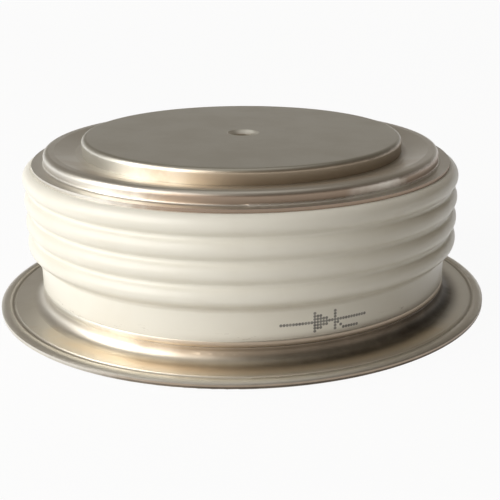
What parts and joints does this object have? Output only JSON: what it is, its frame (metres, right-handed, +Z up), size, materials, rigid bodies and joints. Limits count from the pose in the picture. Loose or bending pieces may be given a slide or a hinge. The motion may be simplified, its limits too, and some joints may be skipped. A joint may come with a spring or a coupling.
{
  "type": "disc thyristor",
  "caption": "Disc thyristor in a press-pack housing: ribbed ceramic ring between two plated pole faces, with a wide welded flange and a gate tube.",
  "frame": {"origin": "centre of the cathode pole face, which is the lower face that the part stands on", "axes": "+Z up the device axis to the anode face, +Y along the gate tube, -Y faces the viewer of the picture"},
  "size_m": [0.075, 0.075, 0.026],
  "materials": {
    "nickel_pole": "satin nickel plating on copper",
    "nickel_sheet": "nickel plating on stamped sheet",
    "white_ceramic": "white glaze on alumina",
    "molybdenum": "lapped",
    "silicon": "lapped and metallised",
    "edge_rubber": "moulded",
    "insulating_plastic": "plain",
    "gate_metal": "silver plated"
  },
  "bodies": {
    "root": {"anode_pole": "nickel_pole", "cap_ring": "nickel_sheet", "ceramic_insulator": "white_ceramic", "housing_flange": "nickel_sheet", "lid_flange": "nickel_sheet", "cathode_pole": "nickel_pole", "cathode_moly_disc": "molybdenum", "silicon_wafer": "silicon", "wafer_edge_rubber": "edge_rubber", "anode_moly_disc": "molybdenum", "locating_ring": "insulating_plastic", "gate_cup": "insulating_plastic", "gate_spring": "gate_metal", "gate_pin": "gate_metal", "gate_guide": "insulating_plastic", "gate_lead": "gate_metal", "gate_lead_sleeve": "insulating_plastic", "gate_tube": "nickel_sheet", "gate_seal_ring": "nickel_sheet"}
  },
  "joints": []
}
